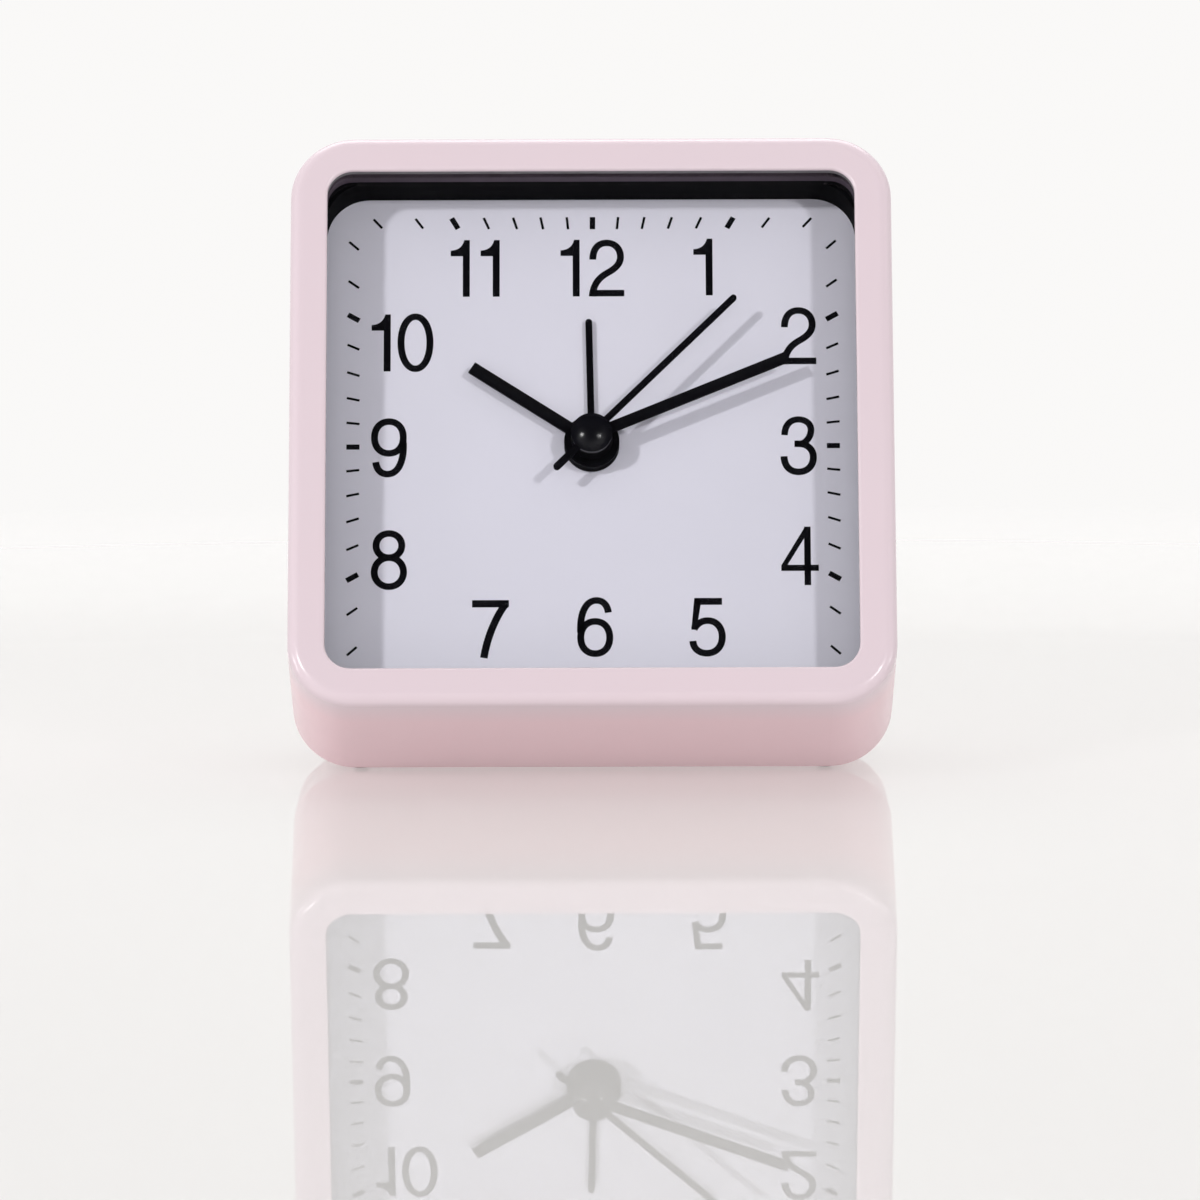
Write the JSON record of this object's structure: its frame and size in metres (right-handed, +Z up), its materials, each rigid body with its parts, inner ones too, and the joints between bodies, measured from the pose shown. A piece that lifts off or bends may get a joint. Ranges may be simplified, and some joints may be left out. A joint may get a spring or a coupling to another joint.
{
  "type": "table alarm clock",
  "caption": "Square pale-pink table alarm clock that leans back on a sloped base: recessed numbered dial, geared hands, alarm hand, rear setting knobs, alarm switch and battery door.",
  "frame": {"origin": "middle of the overall footprint at table level, under the feet", "axes": "+X to the right as seen from the front, +Y towards the back, +Z up; the face leans back 26.1 degrees and looks along -Y"},
  "size_m": [0.075, 0.0712, 0.078],
  "materials": {
    "case_pink": "satin moulded pale pink",
    "lens_clear": "clear flat polished sheet",
    "gasket_black": "matt black ring",
    "surround_black": "polished black moulding with a satin front step",
    "dial_white": "matt cool white print ground",
    "hand_black": "semi-gloss black",
    "cap_black": "polished black dome",
    "carrier_white": "natural white moulding",
    "movement_grey": "dark grey moulding",
    "gear_natural": "natural acetal",
    "brass_arbor": "turned",
    "screw_steel": "zinc plated",
    "iron_plate": "stamped sheet",
    "magnet_dark": "sintered",
    "bobbin_white": "moulded",
    "coil_copper": "enamelled wire",
    "board_green": "varnished board",
    "chip_black": "cast resin",
    "can_bright": "drawn can",
    "buzzer_black": "moulded",
    "contact_nickel": "nickel plated strip",
    "cell_jacket": "plain printed jacket, bare ends",
    "knob_white": "moulded with grips",
    "switch_white": "moulded with ribs",
    "foot_grey": "soft grey"
  },
  "bodies": {
    "clock_body": {"front_case": "case_pink", "rear_housing": "case_pink", "feet": "foot_grey", "lens_gasket": "gasket_black", "lens": "lens_clear", "dial_surround": "surround_black", "dial": "dial_white", "movement_carrier": "carrier_white", "case_screws": "screw_steel", "movement_screws": "screw_steel", "cover_screws": "screw_steel", "movement_base": "movement_grey", "movement_cover": "movement_grey", "middle_plate": "movement_grey", "stator": "iron_plate", "coil_core": "iron_plate", "coil_bobbin": "bobbin_white", "motor_coil": "coil_copper", "circuit_board": "board_green", "chip_cover": "chip_black", "quartz_crystal": "can_bright", "buzzer": "buzzer_black", "switch_contact": "contact_nickel", "alarm_trip_leaf": "contact_nickel", "battery": "cell_jacket", "positive_contact": "contact_nickel", "negative_contact": "contact_nickel"},
    "seconds": {"seconds_wheel": "gear_natural", "second_hand": "hand_black", "hub_cap": "cap_black"},
    "rotor": {"rotor_pinion": "gear_natural", "rotor_magnet": "magnet_dark"},
    "intermediate": {"intermediate_wheel": "gear_natural"},
    "third": {"third_wheel": "gear_natural"},
    "centre": {"centre_wheel": "gear_natural"},
    "minute": {"minute_tube": "brass_arbor", "clutch_spring": "brass_arbor", "minute_hand": "hand_black"},
    "motion": {"motion_wheel": "gear_natural", "time_knob": "knob_white"},
    "hour": {"hour_wheel": "gear_natural", "hour_hand": "hand_black"},
    "alarm": {"alarm_wheel": "gear_natural", "alarm_hand": "hand_black"},
    "alarm_setting": {"alarm_arbor": "gear_natural", "alarm_knob": "knob_white"},
    "switch": {"switch_slider": "switch_white"},
    "door": {"battery_door": "case_pink"}
  },
  "joints": [
    {"name": "second_hand_turn", "type": "hinge", "parent": "clock_body", "child": "seconds", "pos_m": [0, -0.00984, 0.04001], "axis": [0, 0.898, -0.4399], "continuous": true},
    {"name": "rotor_turn", "type": "hinge", "parent": "clock_body", "child": "rotor", "pos_m": [-0.00606, -0.00408, 0.05178], "axis": [0, 0.898, -0.4399], "continuous": true},
    {"name": "intermediate_wheel_turn", "type": "hinge", "parent": "clock_body", "child": "intermediate", "pos_m": [0, -0.00562, 0.04863], "axis": [0, 0.898, -0.4399], "continuous": true},
    {"name": "third_wheel_turn", "type": "hinge", "parent": "clock_body", "child": "third", "pos_m": [0, -0.0138, 0.03193], "axis": [0, 0.898, -0.4399], "continuous": true},
    {"name": "centre_wheel_turn", "type": "hinge", "parent": "clock_body", "child": "centre", "pos_m": [0, -0.00984, 0.04001], "axis": [0, 0.898, -0.4399], "continuous": true},
    {"name": "minute_hand_turn", "type": "hinge", "parent": "clock_body", "child": "minute", "pos_m": [0, -0.00984, 0.04001], "axis": [0, 0.898, -0.4399], "continuous": true},
    {"name": "time_knob_turn", "type": "hinge", "parent": "clock_body", "child": "motion", "pos_m": [-0.01039, -0.0072, 0.0454], "axis": [0, 0.898, -0.4399], "continuous": true},
    {"name": "hour_hand_turn", "type": "hinge", "parent": "clock_body", "child": "hour", "pos_m": [0, -0.00984, 0.04001], "axis": [0, 0.898, -0.4399], "continuous": true},
    {"name": "alarm_hand_turn", "type": "hinge", "parent": "clock_body", "child": "alarm", "pos_m": [0, -0.00984, 0.04001], "axis": [0, 0.898, -0.4399], "continuous": true},
    {"name": "alarm_knob_turn", "type": "hinge", "parent": "clock_body", "child": "alarm_setting", "pos_m": [0.01039, -0.0072, 0.0454], "axis": [0, 0.898, -0.4399], "continuous": true},
    {"name": "alarm_switch_slide", "type": "slide", "parent": "clock_body", "child": "switch", "axis": [0, 0.4399, 0.898], "range_m": [0, 0.004]},
    {"name": "battery_door_open", "type": "hinge", "parent": "clock_body", "child": "door", "pos_m": [0, 0.00824, 0.00419], "axis": [-1, 0, 0], "range_deg": [0, 60]}
  ],
  "couplings": [
    {"joint": "rotor_turn", "follows": "second_hand_turn", "ratio": 30},
    {"joint": "intermediate_wheel_turn", "follows": "second_hand_turn", "ratio": -5},
    {"joint": "third_wheel_turn", "follows": "second_hand_turn", "ratio": -0.13333},
    {"joint": "centre_wheel_turn", "follows": "second_hand_turn", "ratio": 0.016667},
    {"joint": "time_knob_turn", "follows": "minute_hand_turn", "ratio": -0.33333},
    {"joint": "hour_hand_turn", "follows": "minute_hand_turn", "ratio": 0.083333},
    {"joint": "alarm_knob_turn", "follows": "alarm_hand_turn", "ratio": -3.6667}
  ]
}
